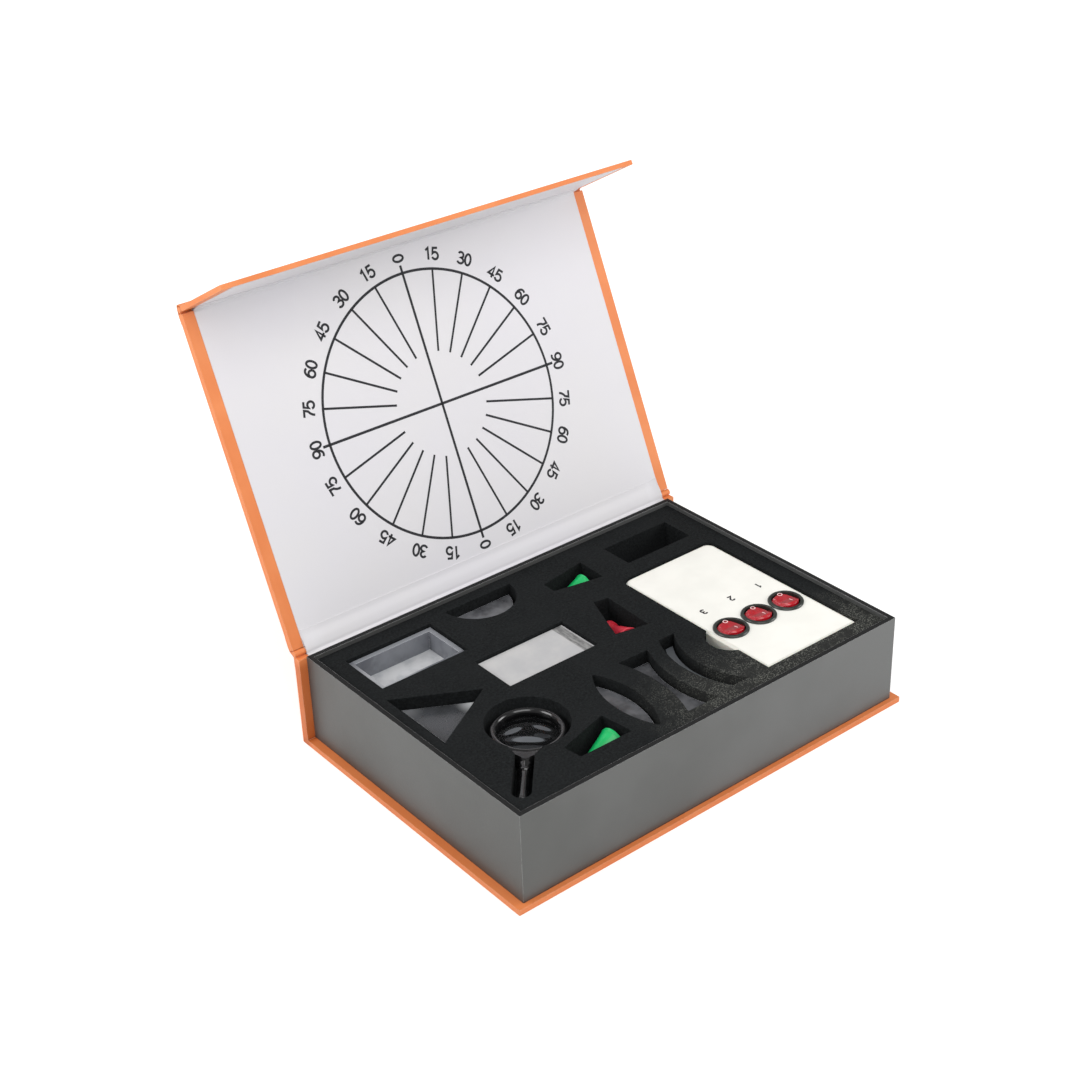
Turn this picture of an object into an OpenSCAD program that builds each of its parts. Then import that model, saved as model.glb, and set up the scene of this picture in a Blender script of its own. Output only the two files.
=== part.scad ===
// Optics kit in an open book-shaped case: foam tray with cut recesses, ray box, lenses and figures.
// Millimetres, Z up. The lid turns about a line along X at the back, the flap side looks to -Y.

/* [Case] */
// Outside width of the tray
tray_w = 266; // [264:1:276]
// Outside depth of the tray
tray_d = 186; // [184:1:192]
// Height of the tray rim above the table
rim_z = 57; // [57:0.5:61]
// Thickness of a tray wall with its paper
wall = 3; // [2.6:0.1:3.4]
// Thickness of the tray floor
floor_t = 3; // [2:0.5:4]
// How far the base board stands out at each side
overhang_side = 5; // [4:0.5:7]
// How far the base board stands out in front
overhang_front = 3; // [2.5:0.5:4]
// Thickness of the base board with its paper
base_t = 3.3; // [2.8:0.1:4]
// Depth of the spine behind the tray
spine_t = 5; // [4.6:0.1:6]
// Thickness of the orange cover paper
paper_t = 0.4; // [0.3:0.05:0.5]

/* [Lid and flap] */
// How far the lid leans back from upright
lid_lean = 23.8; // [15:0.2:40]
// Thickness of the lid with paper and lining
lid_t = 4.4; // [4:0.1:5]
// Angle between the flap and the plane of the lid
flap_fold = 84.7; // [75:0.1:90]
// Thickness of the flap with paper and lining
flap_t = 3; // [2.6:0.1:3.4]
// Gap between the closed flap and the tray front
flap_gap = 2.4; // [1.8:0.1:3]
// Width of the orange turned-in edge beside the lining
edge_w = 7; // [5:0.2:9]
// Radius of the magnets that hold the flap
magnet_r = 5; // [4:0.5:6]

/* [Foam] */
// How far the foam lies below the rim
foam_drop = 2.5; // [2:0.1:3.5]
// Depth of the recesses for the optical pieces
kit_depth = 17; // [16.6:0.1:18]
// Depth of the ray box recess
box_depth = 30.5; // [30:0.1:32]
// Play around a piece that sits close in its recess
close_play = 0.5; // [0.4:0.05:0.8]
// Play around a piece that lies loose in its recess
loose_play = 2.6; // [2:0.1:3]
// Radius of the finger notch beside the ray box
notch_r = 14; // [10:0.5:15]

/* [Ray box] */
// Width of the ray box
rb_w = 69; // [67:0.5:70]
// Length of the ray box
rb_l = 119; // [116:0.5:120]
// Height of the ray box
rb_h = 29.4; // [28.6:0.1:29.8]
// Thickness of the ray box walls
rb_wall = 2; // [1.8:0.1:2.4]
// Corner radius at the back end
rb_back_r = 6; // [4:0.5:8]
// Radius of the round switch bezels
bezel_r = 10.25; // [10.1:0.05:10.4]
// Distance from one switch to the next
switch_pitch = 21.4; // [21:0.1:22]
// Tilt of a rocker to either side
rocker_tilt = 9; // [6:0.5:9.5]

/* [Optical pieces] */
// Length of the water tank
tank_l = 56; // [52:1:58]
// Width of the water tank
tank_w = 34; // [30:1:36]
// Wall of the water tank
tank_wall = 3; // [2:0.5:4]
// Length of the glass block
block_l = 60; // [56:1:61]
// Width of the glass block
block_w = 30; // [26:1:31]
// Height of the tank and the glass block
block_h = 15; // [12:0.5:16]
// Side of the three-sided prism
prism_side = 40; // [36:1:41]
// Height of the lenses and the mirror
lens_h = 11; // [9:0.5:13]
// Length of the two long lenses
lens_l = 52.5; // [48:0.5:54]
// Outer radius of the magnifier ring
ring_r = 21; // [19:0.25:21.5]
// Outer radius of a figure at its foot
pawn_r = 7.5; // [7:0.25:8.5]

/* [Hidden] */
$fn = 96;
slack = 0.3;
skin = 0.3;

foam_w = tray_w - 2 * wall;
foam_d = tray_d - 2 * wall;
foam_top = rim_z - foam_drop;
kit_z = foam_top - kit_depth;
box_z = foam_top - box_depth;
tray_floor = base_t + floor_t;

cover_w = tray_w + 2 * overhang_side;
front_y = -tray_d / 2 - overhang_front;
hinge_y = tray_d / 2 + spine_t;
hinge_z = rim_z + 1;
hinge_r = 1.8;
lining_rise = 0.7;
lining_t = 0.6;
lid_mid = lid_t / 2 - lining_rise;
lid_start = hinge_r + 0.3;
flap_axis = hinge_y + tray_d / 2 + flap_gap + flap_t / 2;
lid_end = flap_axis - flap_t / 2 - 1;
fold_r = flap_t / 2 + 0.1;
flap_start = fold_r + 0.5;
flap_end = hinge_z + lid_mid - base_t - 0.6;
turn_in = 15;
lining_w = cover_w - 2 * edge_w;

magnet_t = 1.5;
magnet_x = 70;
magnet_down = 30;
magnet_z = hinge_z + lid_mid - magnet_down;

rb_at = spot(0.3158, -0.0995);
rb_front_r = 1.2;
rb_edge = 1.1;
rb_seam = 16;
label_t = 0.3;
label_in = 1.7;
switch_y = 41.4 - rb_l / 2;
switch_x0 = -0.6;
switch_xs = [switch_x0 - switch_pitch, switch_x0, switch_x0 + switch_pitch];
switch_body_r = bezel_r - 0.95;
switch_deep = 12;
bezel_t = 1.2;
well_r = bezel_r - 1.95;
cap_r = well_r - 0.7;
pivot_down = 1.8;
pin_r = 1;
pin_reach = cap_r + 1.4;
boss_x = rb_w / 2 - 5.1;
boss_front = 5.5 - rb_l / 2;
boss_back = rb_l / 2 - 4.2;
boss_at = [[-boss_x, boss_front], [boss_x, boss_front], [-boss_x, boss_back], [boss_x, boss_back]];
boss_r = 3.2;
screw_r = 1.4;
head_r = 2.5;
laser_r = 4.5;
laser_l = 19;
laser_z = 8.5;
cell_r = 7.1;
cell_l = 48.9;
cell_z = 2.6 + cell_r;
cell_pitch = 2 * cell_r + 0.6;
bay_x = cell_l / 2 + 4.05;
door_w = 2 * bay_x + 1;
door_l = 3 * cell_pitch + 1.6;
door_t = 1.2;
door_y = rb_l / 2 - 30.7;
cell_ys = [door_y - cell_pitch, door_y, door_y + cell_pitch];
board_z = 5.2;
board_w = rb_w - 15;
board_l = rb_l - 79;
board_y = 24.5 - rb_l / 2 + board_l / 2;
post_x = board_w / 2 - 4;
post_y = board_l / 2 - 3;
window_r = 3;

// Places as shares of the tray width and depth
function spot(x, y) = [x * tray_w, y * tray_d];
tank_at = spot(-0.335, 0.3269);
block_at = spot(-0.1308, 0.0817);
prism_at = spot(-0.3944, 0.0441);
convex_at = spot(-0.1045, -0.2699);
concave_at = spot(0.0019, -0.2758);
mirror_at = spot(0.1064, -0.2645);
plano_at = spot(-0.0846, 0.4355);
ring_at = spot(-0.2974, -0.1715);
ring_turn = 228.3;
green_front_at = spot(-0.1808, -0.3409);
green_back_at = spot(0.159, 0.3371);
red_at = spot(0.0763, 0.0065);
spare_at = spot(0.3391, 0.3468);
notch_at = spot(0.2068, -0.2312);
spare_l = 48.5;
spare_w = 22;

prism_r = prism_side / sqrt(3);
prism_h = 10;
convex_w = 13.5;
concave_w = 17;
waist_w = 6.5;
mirror_t = 4.5;
mirror_bow = 8.2;
plano_l = 39.5;
plano_sag = 17;

ring_h = 9;
ring_z = foam_top - 13;
ring_t = 4.8;
ring_hole = ring_r - ring_t;
lens_r = ring_hole + 0.8;
lens_edge = 1.5;
lens_mid = 6;
neck_l = 10.2;
neck_r = 8.5;
pin_l = 5.6;
pin_d = 2.4;
collar_x = ring_r + neck_l;
handle_l = 27.2;
handle_end = collar_x + handle_l;
handle_r = 4.2;
stem_r = 3.1;
grip_z = ring_z + ring_h / 2;

pawn_h = 26.6;
ball_r = 3.9;
ball_at = pawn_h - ball_r;
pawn_tip = acos(ball_r / sqrt(pawn_r * pawn_r + ball_at * ball_at)) - atan2(ball_at, pawn_r);
pawn_z = kit_z + slack + pawn_r * cos(pawn_tip);
foot_slot = 2 * pawn_r + 5.7;
head_slot = 2 * ball_r + 1.6;
green_front_turn = 7.2;
green_back_turn = -1.1;
red_turn = 258.4;

// Shared forms

module plate(w, d, h) {
    translate([-w / 2, -d / 2, 0]) cube([w, d, h]);
}

module at(p, z, turn = 0) {
    translate([p[0], p[1], z]) rotate([0, 0, turn]) children();
}

module convex_form(l, w, h) {
    r = (l * l / 4 + w * w / 4) / w;
    intersection() {
        translate([w / 2 - r, 0, 0]) cylinder(r = r, h = h);
        translate([r - w / 2, 0, 0]) cylinder(r = r, h = h);
        plate(w + 2, l - 1.6, h);
    }
}

module concave_form(l, w, waist, h) {
    s = (w - waist) / 2;
    half = l / 2 - 1;
    r = (half * half + s * s) / (2 * s);
    difference() {
        plate(w, l, h);
        for (k = [-1, 1])
            translate([k * (waist / 2 + r), 0, -1]) cylinder(r = r, h = h + 2);
    }
}

module bow_form(l, t, bow, h) {
    r = (l * l / 4 + bow * bow) / (2 * bow);
    intersection() {
        translate([r - bow, 0, 0]) difference() {
            cylinder(r = r + t / 2, h = h);
            translate([0, 0, -1]) cylinder(r = r - t / 2, h = h + 2);
        }
        translate([-bow - t, -l / 2, 0]) cube([bow + 2 * t, l, h]);
    }
}

module half_round_form(l, sag, h) {
    r = (l * l / 4 + sag * sag) / (2 * sag);
    intersection() {
        translate([0, r - sag, 0]) cylinder(r = r, h = h);
        translate([-l / 2 - 1, -sag - 1, 0]) cube([l + 2, sag + 1, h]);
    }
}

// Case: boards, papers and tray

module base_board() {
    color("tan")
    translate([-cover_w / 2 + paper_t, front_y + paper_t, paper_t])
        cube([cover_w - 2 * paper_t, tray_d / 2 - front_y, base_t - 2 * paper_t]);
}

module spine_board() {
    color("tan")
    translate([-cover_w / 2 + paper_t, tray_d / 2 + paper_t, paper_t])
        cube([cover_w - 2 * paper_t, spine_t - 2 * paper_t, hinge_z - hinge_r - 2 * paper_t]);
}

module bead(r, w) {
    rotate([0, 90, 0]) cylinder(r = r, h = w, center = true, $fn = 48);
}

module bead_shell(r) {
    difference() {
        bead(r, cover_w);
        translate([-lining_w / 2, -2 * r, -2 * r]) cube([lining_w, 2 * r, 4 * r]);
    }
}

module bead_lining(r) {
    intersection() {
        bead(r, lining_w - 0.1);
        translate([-cover_w / 2, -2 * r, -2 * r]) cube([cover_w, 2 * r, 4 * r]);
    }
}

module cover_paper_base() {
    spine_top = hinge_z - hinge_r;
    color("darkorange")
    union() {
        translate([-cover_w / 2, front_y, 0]) cube([cover_w, hinge_y - front_y, paper_t]);
        translate([-cover_w / 2, front_y, 0]) cube([cover_w, paper_t, base_t]);
        for (side = [0, 1]) mirror([side, 0, 0]) {
            translate([cover_w / 2 - paper_t, front_y, 0]) cube([paper_t, hinge_y - front_y, base_t]);
            translate([cover_w / 2 - turn_in, front_y, base_t - paper_t])
                cube([turn_in, tray_d / 2 - front_y, paper_t]);
            translate([cover_w / 2 - paper_t, tray_d / 2, 0]) cube([paper_t, spine_t, spine_top]);
            translate([cover_w / 2 - turn_in, tray_d / 2, base_t - paper_t])
                cube([turn_in, paper_t, spine_top - base_t]);
            translate([lining_w / 2, tray_d / 2, spine_top - paper_t])
                cube([edge_w, spine_t, paper_t]);
        }
        translate([-cover_w / 2, front_y, base_t - paper_t]) cube([cover_w, turn_in, paper_t]);
        translate([-cover_w / 2, hinge_y - paper_t, 0]) cube([cover_w, paper_t, hinge_z]);
        in_lid() bead_shell(hinge_r);
    }
}

module hinge_lining() {
    color("white")
    difference() {
        union() {
            translate([-lining_w / 2, tray_d / 2, hinge_z - hinge_r - paper_t])
                cube([lining_w, spine_t - paper_t, paper_t - 0.07]);
            translate([-lining_w / 2 + 0.05, hinge_y - 1.4, hinge_z - hinge_r - paper_t])
                cube([lining_w - 0.1, 0.55, hinge_r + paper_t - 1]);
            in_lid() bead_lining(hinge_r);
        }
        translate([-cover_w / 2, hinge_y - paper_t, -1]) cube([cover_w, 5, hinge_z + 1]);
    }
}

module tray_box() {
    difference() {
        color("saddlebrown")
        translate([-tray_w / 2 + skin, -tray_d / 2 + skin, base_t])
            cube([tray_w - 2 * skin, tray_d - 2 * skin, rim_z - skin - base_t]);
        translate([0, 0, tray_floor]) plate(foam_w + 2 * skin, foam_d + 2 * skin, rim_z);
        for (x = [-magnet_x, magnet_x])
            translate([x, -tray_d / 2 + skin - 1, magnet_z]) rotate([-90, 0, 0])
                cylinder(r = magnet_r + 0.05, h = magnet_t + 1);
    }
}

module tray_paper() {
    color("dimgray")
    difference() {
        translate([0, 0, base_t]) plate(tray_w, tray_d, rim_z - base_t);
        translate([0, 0, base_t - 1]) plate(foam_w, foam_d, rim_z);
        translate([0, 0, base_t - 1])
            difference() {
                plate(tray_w - 2 * skin, tray_d - 2 * skin, rim_z - skin - base_t + 1);
                translate([0, 0, tray_floor - base_t + 1]) plate(foam_w + 2 * skin, foam_d + 2 * skin, rim_z);
            }
    }
}

module tray_magnets() {
    color("silver")
    for (x = [-magnet_x, magnet_x])
        translate([x, -tray_d / 2 + skin, magnet_z]) rotate([-90, 0, 0])
            cylinder(r = magnet_r, h = magnet_t);
}

// Foam: two cut sheets on a plain pad

module pawn_slot(length, foot_w, head_w, h) {
    linear_extrude(height = h)
        polygon([[2.6, -foot_w / 2], [2.6, foot_w / 2], [-length, head_w / 2], [-length, -head_w / 2]]);
}

module box_pocket(h) {
    r = rb_back_r + close_play;
    w = rb_w + 2 * close_play;
    l = rb_l + 2 * close_play;
    at(rb_at, 0) {
        translate([-w / 2, -l / 2, 0]) cube([w, l - r, h]);
        translate([-w / 2 + r, 0, 0]) cube([w - 2 * r, l / 2, h]);
        for (k = [-1, 1])
            translate([k * (w / 2 - r), l / 2 - r, 0]) cylinder(r = r, h = h);
    }
    at(notch_at, 0) cylinder(r = notch_r, h = h);
    at(spare_at, 0) plate(spare_l, spare_w, h);
}

module kit_recesses(h) {
    at(tank_at, 0) plate(tank_l + 2 * close_play, tank_w + 2 * close_play, h);
    at(block_at, 0) plate(block_l + 2 * close_play, block_w + 2 * close_play, h);
    at([prism_at[0] - loose_play, prism_at[1] - 1], 0)
        cylinder(r = prism_r + 2.5 * loose_play, h = h, $fn = 3);
    at(convex_at, 0, -3.4) convex_form(lens_l + 2.4 * loose_play, convex_w + 1.5 * loose_play, h);
    at(concave_at, 0, -2.3)
        concave_form(lens_l + 2 * loose_play, concave_w + loose_play, waist_w + loose_play, h);
    at(mirror_at, 0) bow_form(lens_l + 2.2 * loose_play, mirror_t + 1.8 * loose_play,
        mirror_bow + 0.5, h);
    at([plano_at[0] - 1.6, plano_at[1] + 1], 0)
        half_round_form(plano_l + 2.6 * loose_play, plano_sag + 1.9 * loose_play, h);
    at(green_front_at, 0, green_front_turn) pawn_slot(pawn_h + 4, foot_slot, head_slot + 2, h);
    at(green_back_at, 0, green_back_turn) pawn_slot(pawn_h + 2.2, foot_slot, head_slot, h);
    at(red_at, 0, red_turn) pawn_slot(pawn_h + 6, foot_slot, head_slot, h);
}

module ring_recess(h) {
    at(ring_at, 0, ring_turn) {
        cylinder(r = ring_r + loose_play - 0.8, h = h);
        translate([5, -handle_r - 0.9, 0]) cube([handle_end - 5, 2 * handle_r + 1.8, h]);
        translate([handle_end, 0, 0]) cylinder(r = handle_r + 0.9, h = h);
        linear_extrude(height = h)
            polygon([[ring_r - 3, -neck_r - 2.2], [ring_r - 3, neck_r + 2.2], [ring_r + 7, handle_r + 0.5],
                [ring_r + 7, -handle_r - 0.5]]);
    }
}

module foam_top_sheet() {
    color("#26282a")
    difference() {
        translate([0, 0, kit_z]) plate(foam_w, foam_d, kit_depth);
        translate([0, 0, kit_z - 1]) {
            box_pocket(kit_depth + 2);
            kit_recesses(kit_depth + 2);
        }
        translate([0, 0, ring_z]) ring_recess(kit_depth);
    }
}

module foam_second_sheet() {
    color("#26282a")
    difference() {
        translate([0, 0, box_z]) plate(foam_w, foam_d, kit_z - box_z);
        translate([0, 0, box_z - 1]) box_pocket(kit_z - box_z + 2);
    }
}

module foam_pad() {
    color("#26282a")
    translate([0, 0, tray_floor]) plate(foam_w, foam_d, box_z - tray_floor);
}

// Lid: Z runs along the lid from the hinge, -Y is its inner side

module in_lid() {
    translate([0, hinge_y, hinge_z]) rotate([-lid_lean, 0, 0]) children();
}

module lid_slab(w, inner, outer, low, high) {
    translate([-w / 2, inner, low]) cube([w, outer - inner, high - low]);
}

module lid_board() {
    outer = lid_t - lining_rise;
    color("tan")
    in_lid() lid_slab(cover_w - 2 * paper_t, lining_t - lining_rise, outer - paper_t,
        lid_start + paper_t, lid_end - paper_t);
}

module lid_paper() {
    inner = lining_t - lining_rise;
    outer = lid_t - lining_rise;
    color("darkorange")
    in_lid() union() {
        lid_slab(cover_w, outer - paper_t, outer, lid_start, lid_end);
        for (side = [0, 1]) mirror([side, 0, 0]) {
            translate([cover_w / 2 - paper_t, inner - paper_t, lid_start])
                cube([paper_t, outer - inner + paper_t, lid_end - lid_start]);
            translate([lining_w / 2, inner - paper_t, lid_start])
                cube([edge_w, paper_t, lid_end - lid_start]);
        }
        lid_slab(cover_w, inner, outer, lid_start, lid_start + paper_t);
        lid_slab(cover_w, inner, outer, lid_end - paper_t, lid_end);
        lid_slab(cover_w, lid_mid, lid_mid + paper_t, lid_end - paper_t, flap_axis - 0.5);
        translate([0, lid_mid, flap_axis]) bead_shell(fold_r);
    }
}

module lid_lining() {
    color("whitesmoke")
    in_lid() union() {
        lid_slab(lining_w, -lining_rise, lining_t - lining_rise, lid_start, lid_end);
        lid_slab(lining_w - 0.1, lid_mid - paper_t, lid_mid, lid_end, flap_axis - 0.5);
        translate([0, lid_mid, flap_axis]) bead_lining(fold_r);
    }
}

// Flap: Z runs along the flap from its fold, -Y is its inner side

module in_flap() {
    in_lid() translate([0, lid_mid, flap_axis]) rotate([flap_fold, 0, 0]) children();
}

module flap_board() {
    half = flap_t / 2;
    color("tan")
    in_flap() difference() {
        lid_slab(cover_w - 2 * paper_t, lining_t - half, half - paper_t,
            flap_start + paper_t, flap_end - paper_t);
        for (x = [-magnet_x, magnet_x])
            translate([x, lining_t - half - 1, magnet_down]) rotate([-90, 0, 0])
                cylinder(r = magnet_r + 0.05, h = magnet_t + 1);
    }
}

module flap_paper() {
    half = flap_t / 2;
    inner = lining_t - half;
    color("darkorange")
    in_flap() union() {
        lid_slab(cover_w, half - paper_t, half, flap_start, flap_end);
        for (side = [0, 1]) mirror([side, 0, 0]) {
            translate([cover_w / 2 - paper_t, inner - paper_t, flap_start])
                cube([paper_t, half - inner + paper_t, flap_end - flap_start]);
            translate([lining_w / 2, inner - paper_t, flap_start])
                cube([edge_w, paper_t, flap_end - flap_start]);
        }
        lid_slab(cover_w, inner, half, flap_start, flap_start + paper_t);
        lid_slab(cover_w, inner - paper_t, half, flap_end - paper_t, flap_end);
    }
}

module flap_lining() {
    half = flap_t / 2;
    color("whitesmoke")
    in_flap() lid_slab(lining_w, -half, lining_t - half, flap_start, flap_end - paper_t);
}

module flap_magnets() {
    color("silver")
    in_flap()
    for (x = [-magnet_x, magnet_x])
        translate([x, lining_t - flap_t / 2, magnet_down]) rotate([-90, 0, 0])
            cylinder(r = magnet_r, h = magnet_t);
}

// Ray box: Z starts at its underside, the beams leave towards -Y

module in_box() {
    at(rb_at, box_z) children();
}

module box_plan(inset, h) {
    w = rb_w - 2 * inset;
    l = rb_l - 2 * inset;
    rb = rb_back_r - inset;
    rf = max(rb_front_r - inset, 0.4);
    translate([-w / 2, -l / 2 + rf, 0]) cube([w, l - rf - rb, h]);
    translate([-w / 2 + rf, -l / 2, 0]) cube([w - 2 * rf, l / 2, h]);
    translate([-w / 2 + rb, 0, 0]) cube([w - 2 * rb, l / 2, h]);
    for (k = [-1, 1]) {
        translate([k * (w / 2 - rf), -l / 2 + rf, 0]) cylinder(r = rf, h = h, $fn = 32);
        translate([k * (w / 2 - rb), l / 2 - rb, 0]) cylinder(r = rb, h = h, $fn = 32);
    }
}

module raybox_top_shell() {
    color("ivory")
    in_box() difference() {
        union() {
            difference() {
                hull() {
                    translate([0, 0, rb_seam]) box_plan(0, rb_h - rb_edge - rb_seam);
                    translate([0, 0, rb_seam]) box_plan(rb_edge, rb_h - rb_seam);
                }
                translate([0, 0, rb_seam - 1]) box_plan(rb_wall, rb_h - rb_wall - rb_seam + 1);
            }
            for (p = boss_at)
                at(p, rb_seam) cylinder(r = boss_r, h = rb_h - rb_wall - rb_seam + 0.5, $fn = 32);
        }
        translate([0, 0, rb_h - label_t]) box_plan(label_in, 1);
        for (x = switch_xs)
            translate([x, switch_y, rb_seam]) cylinder(r = switch_body_r + 0.1, h = rb_h);
        for (p = boss_at)
            at(p, rb_seam - 1) cylinder(r = screw_r + 0.05, h = 8);
    }
}

module raybox_bottom_shell() {
    color("ivory")
    in_box() difference() {
        union() {
            difference() {
                union() {
                    hull() {
                        translate([0, 0, rb_edge]) box_plan(0, rb_seam - rb_edge);
                        box_plan(rb_edge, rb_seam);
                    }
                    translate([0, 0, rb_seam - 2]) box_plan(rb_wall + 0.1, 3.4);
                }
                translate([0, 0, rb_wall]) box_plan(rb_wall + 1.1, rb_seam + 4);
            }
            for (p = boss_at)
                at(p, 1) cylinder(r = boss_r, h = rb_seam - 1, $fn = 32);
            for (k = [-1, 1])
                translate([k * (bay_x + 0.75) - 0.75, door_y - 22, 1]) cube([1.5, 44, 13]);
            for (x = switch_xs)
                for (y = [5.5, 16.5])
                    translate([x - laser_r - 2, y - 1.5 - rb_l / 2, 1])
                        cube([2 * laser_r + 4, 3, laser_z - 1]);
            for (x = [-post_x, post_x])
                for (y = [-post_y, post_y])
                    translate([x, board_y + y, 1]) cylinder(r = 2.2, h = board_z - 1, $fn = 32);
        }
        for (p = boss_at)
            at(p, -1) {
                cylinder(r = screw_r + 0.05, h = rb_seam + 2);
                cylinder(r = head_r + 0.2, h = 3);
                translate([0, 0, rb_seam + 1]) plate(2 * boss_r + 1, 2 * boss_r + 1, 3);
            }
        translate([0, door_y, -1]) plate(door_w + 0.6, door_l + 0.6, door_t + 1);
        translate([0, door_y, -1]) plate(door_w - 2.4, door_l - 2.4, rb_wall + 2);
        for (x = switch_xs) {
            translate([x, -rb_l / 2 + 1, laser_z]) rotate([-90, 0, 0]) cylinder(r = laser_r + 0.05, h = 24);
            translate([x, -rb_l / 2 - 1, laser_z]) rotate([-90, 0, 0]) cylinder(r = 2, h = 4);
            translate([x, -rb_l / 2 - 1, laser_z]) rotate([-90, 0, 0]) cylinder(r = window_r + 0.05, h = 2);
        }
    }
}

module raybox_label() {
    color("white")
    in_box() difference() {
        translate([0, 0, rb_h - label_t]) box_plan(label_in + 0.1, label_t);
        for (x = switch_xs)
            translate([x, switch_y, rb_h - 1]) cylinder(r = switch_body_r + 0.1, h = 2);
    }
}

module battery_door() {
    color("ivory")
    in_box() translate([0, door_y, 0]) difference() {
        union() {
            plate(door_w, door_l, door_t);
            plate(door_w - 3.4, door_l - 3.4, rb_wall);
        }
        for (k = [-3:3])
            translate([-12, k * 2.4 - 0.5 - 12, -1]) cube([24, 1, 1.5]);
    }
}

module battery_cells() {
    color("silver")
    in_box()
    for (i = [0:2])
        translate([0, cell_ys[i], cell_z]) rotate([0, i % 2 == 0 ? 90 : -90, 0])
            rotate_extrude()
                polygon([[0, -cell_l / 2 + 2.4], [cell_r - 0.6, -cell_l / 2 + 2.4],
                    [cell_r, -cell_l / 2 + 3], [cell_r, cell_l / 2 + 1.8],
                    [cell_r - 0.6, cell_l / 2 + 2.4], [2.7, cell_l / 2 + 2.4],
                    [2.7, cell_l / 2 + 3.5], [0, cell_l / 2 + 3.5]]);
}

module battery_contacts() {
    tip = bay_x - 0.5;
    color("silver")
    in_box()
    for (i = [0:2])
        translate([0, cell_ys[i], cell_z]) rotate([0, i % 2 == 0 ? 90 : -90, 0]) {
            translate([0, 0, tip]) plate(10, 10, 0.5);
            translate([0, 0, -bay_x]) plate(10, 10, 0.5);
            translate([0, 0, -tip + 0.5]) rotate_extrude()
                for (k = [0:4])
                    translate([3.6, k * 1.1]) circle(r = 0.56, $fn = 16);
        }
}

module laser_modules() {
    color("goldenrod")
    in_box()
    for (x = switch_xs)
        translate([x, -rb_l / 2 + rb_wall, laser_z]) rotate([-90, 0, 0]) difference() {
            union() {
                translate([0, 0, 0.6]) cylinder(r = laser_r, h = laser_l - 0.6);
                translate([0, 0, laser_l]) plate(6, 5, 3);
            }
            translate([0, 0, -1]) cylinder(r = 2, h = 6);
        }
}

module beam_windows() {
    color("darkred")
    in_box()
    for (x = switch_xs)
        translate([x, -rb_l / 2, laser_z]) rotate([-90, 0, 0]) cylinder(r = window_r, h = 1);
}

module wiring_board() {
    color("darkgreen")
    in_box() {
        translate([0, board_y, board_z]) difference() {
            plate(board_w, board_l, 1.6);
            for (x = [-post_x, post_x])
                for (y = [-post_y, post_y])
                    translate([x, y, -1]) cylinder(r = 1, h = 4);
        }
        for (x = switch_xs)
            translate([x - 2, board_y + board_l / 2 - 11, board_z + 1.6]) cube([2, 6, 1.6]);
        for (x = [-16, 0, 16])
            translate([x - 3, board_y - board_l / 2 + 4, board_z + 1.6]) cube([6, 4, 3]);
    }
}

module shell_screws() {
    color("silver")
    in_box()
    for (p = boss_at)
        at(p, 0.4) difference() {
            union() {
                cylinder(r = head_r, h = 1.6);
                cylinder(r = screw_r, h = rb_seam + 5);
            }
            translate([-1.8, -0.35, -0.1]) cube([3.6, 0.7, 0.9]);
            translate([-0.35, -1.8, -0.1]) cube([0.7, 3.6, 0.9]);
        }
}

module switch_terminals() {
    color("silver")
    in_box()
    for (x = switch_xs)
        for (k = [-1, 1])
            translate([x + k * 4 - 0.4, switch_y - 2.4, rb_h - switch_deep - 7]) difference() {
                cube([0.8, 4.8, 7]);
                translate([-1, 2.4, 2]) rotate([0, 90, 0]) cylinder(r = 0.8, h = 3, $fn = 24);
            }
}

module switch_body(i) {
    top = rb_h + bezel_t;
    pivot_z = rb_h - pivot_down;
    color("#2c2e2c")
    in_box() translate([switch_xs[i], switch_y, 0]) difference() {
        union() {
            translate([0, 0, rb_h]) rotate_extrude()
                polygon([[0, 0], [bezel_r, 0], [bezel_r, bezel_t - 0.6], [bezel_r - 0.5, bezel_t],
                    [well_r, bezel_t], [0, bezel_t]]);
            translate([0, 0, rb_h - switch_deep]) cylinder(r = switch_body_r, h = switch_deep);
            for (k = [-1, 1])
                translate([-2.5, k * switch_body_r - 0.6, rb_h - 7]) cube([5, 1.2, 4]);
        }
        translate([0, 0, pivot_z - 3.8]) cylinder(r = well_r, h = top - pivot_z + 4.8);
        translate([-pin_reach - 0.1, 0, pivot_z]) rotate([0, 90, 0])
            cylinder(r = pin_r + 0.06, h = 2 * pin_reach + 0.2, $fn = 32);
    }
}

module switch_body_1() {
    switch_body(0);
}

module switch_body_2() {
    switch_body(1);
}

module switch_body_3() {
    switch_body(2);
}

module rocker(i) {
    rise = pivot_down + 0.8;
    color("#d02840")
    in_box() translate([switch_xs[i], switch_y, rb_h - pivot_down]) rotate([-rocker_tilt, 0, 0]) union() {
        intersection() {
            translate([0, 0, -2]) cylinder(r = cap_r, h = 8);
            translate([0, 0, rise - 7.2]) sphere(r = 10.4);
            translate([0, 0, rise + 1.3 - 12]) rotate([90, 0, 0]) cylinder(r = 12, h = 30, center = true);
            rotate([90, 0, 90]) translate([0, 0, -10]) linear_extrude(height = 20)
                polygon([[-10, -3], [10, -3], [10, rise + 10 * tan(rocker_tilt)], [0, rise],
                    [-10, rise + 10 * tan(rocker_tilt)]]);
        }
        rotate([0, 90, 0]) cylinder(r = pin_r, h = 2 * pin_reach - 0.4, center = true, $fn = 32);
    }
}

module rocker_1() {
    rocker(0);
}

module rocker_2() {
    rocker(1);
}

module rocker_3() {
    rocker(2);
}

// Optical pieces

module water_tank() {
    color("lightblue", 0.5)
    at(tank_at, kit_z) difference() {
        plate(tank_l, tank_w, block_h);
        translate([0, 0, tank_wall]) plate(tank_l - 2 * tank_wall, tank_w - 2 * tank_wall, block_h);
    }
}

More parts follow.
